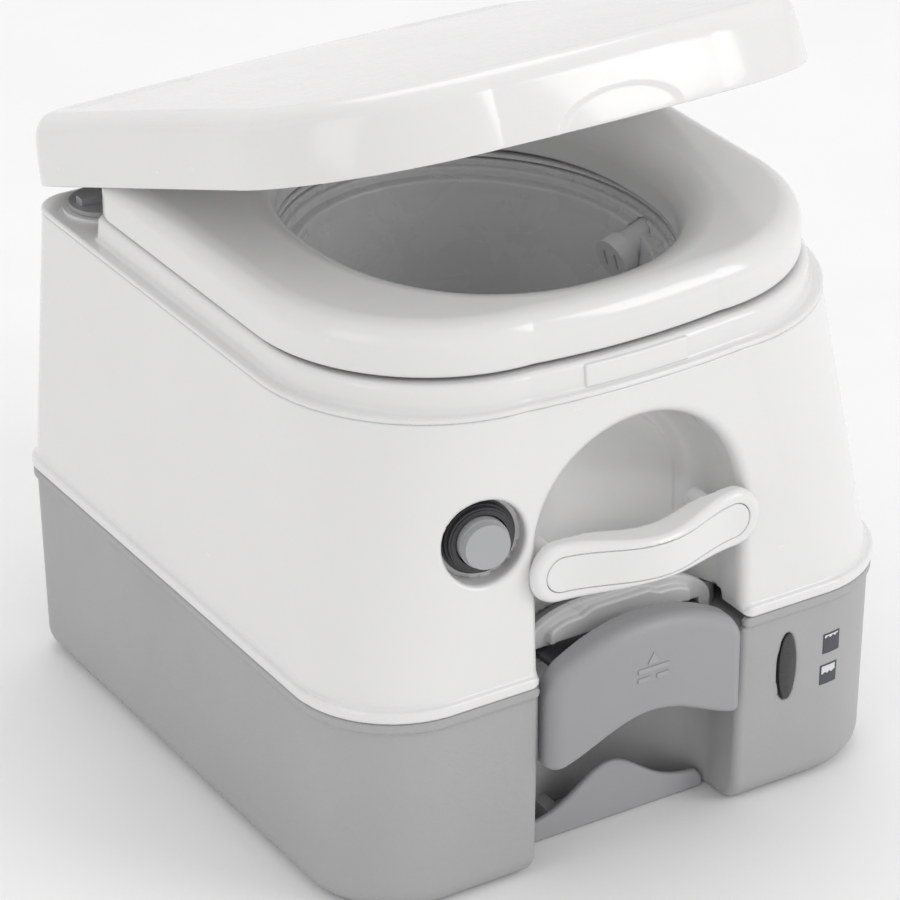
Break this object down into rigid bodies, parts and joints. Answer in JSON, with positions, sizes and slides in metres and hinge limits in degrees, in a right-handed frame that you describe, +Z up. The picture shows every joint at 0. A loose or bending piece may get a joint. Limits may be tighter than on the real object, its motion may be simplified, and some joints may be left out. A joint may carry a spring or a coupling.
{
  "type": "portable camp toilet",
  "caption": "Portable camp toilet: white flush tank with bowl, hinged seat and lid, over a grey waste tank with a pull-out slide valve.",
  "frame": {"origin": "centre of the waste tank's base, on the floor", "axes": "+Z up, -Y towards the front with the handle, +X to the right seen from the front"},
  "size_m": [0.33, 0.387, 0.413],
  "materials": {
    "white_gloss": "glossy moulded plastic",
    "bowl_white": "smooth moulded plastic",
    "tank_grey": "fine satin moulded plastic",
    "handle_grey": "satin plastic",
    "plate_grey": "satin plastic",
    "knob_grey": "satin plastic",
    "dark_print": "printed ink",
    "dark_plastic": "dark plastic",
    "clear_lens": "smoked clear plastic",
    "bead_red": "small float beads",
    "black_rubber": "soft rubber",
    "blade_black": "smooth plastic",
    "steel": "stainless steel"
  },
  "bodies": {
    "waste_unit": {"waste_tank": "tank_grey", "drain_neck": "tank_grey", "level_lens": "clear_lens", "level_backing": "dark_plastic", "level_beads": "bead_red", "level_pictures": "dark_print", "valve_body": "plate_grey", "inlet_seal": "black_rubber", "valve_guide": "bowl_white", "foot_plate": "plate_grey"},
    "slide_valve": {"valve_blade": "blade_black", "valve_handle": "handle_grey", "handle_sign": "plate_grey"},
    "drain_cap": {"drain_cap": "dark_plastic", "drain_seal": "black_rubber"},
    "flush_unit": {"fresh_tank": "white_gloss", "deck": "bowl_white", "bowl": "bowl_white", "hinge_posts": "bowl_white", "front_tab": "white_gloss", "carry_handle": "white_gloss", "handle_posts": "white_gloss", "handle_screws": "steel", "handle_cover": "white_gloss", "filler_neck": "white_gloss", "flush_nozzle": "bowl_white", "pump_barrel": "bowl_white", "pump_ring": "dark_plastic", "pump_spring": "steel", "hinge_pins": "steel"},
    "pump_knob": {"pump_knob": "knob_grey"},
    "filler_cap": {"filler_cap": "knob_grey"},
    "seat": {"seat_ring": "white_gloss", "seat_pads": "black_rubber"},
    "lid": {"lid": "white_gloss", "lid_lugs": "white_gloss", "lid_pads": "black_rubber"}
  },
  "joints": [
    {"name": "tank_lift", "type": "slide", "parent": "waste_unit", "child": "flush_unit", "axis": [0, 0, 1], "range_m": [0, 0.15]},
    {"name": "valve_pull", "type": "slide", "parent": "waste_unit", "child": "slide_valve", "axis": [0, -1, 0], "range_m": [0, 0.096]},
    {"name": "drain_cap_turn", "type": "hinge", "parent": "waste_unit", "child": "drain_cap", "pos_m": [-0.084, 0.18, 0.058], "axis": [0, 1, 0], "range_deg": [0, 270]},
    {"name": "pump_press", "type": "slide", "parent": "flush_unit", "child": "pump_knob", "axis": [0.1733, 0.983, -0.06], "range_m": [0, 0.009], "stiffness_N_per_m": 500, "springref_m": -0.008, "deforming": ["pump_spring"]},
    {"name": "filler_cap_turn", "type": "hinge", "parent": "flush_unit", "child": "filler_cap", "pos_m": [-0.126, 0.141, 0.26], "axis": [0, 0, 1], "range_deg": [0, 180]},
    {"name": "seat_hinge", "type": "hinge", "parent": "flush_unit", "child": "seat", "pos_m": [0, 0.172, 0.276], "axis": [-1, 0, 0], "range_deg": [0, 68]},
    {"name": "lid_hinge", "type": "hinge", "parent": "seat", "child": "lid", "pos_m": [0, 0.172, 0.276], "axis": [-1, 0, 0], "range_deg": [-18.6, 70]}
  ]
}
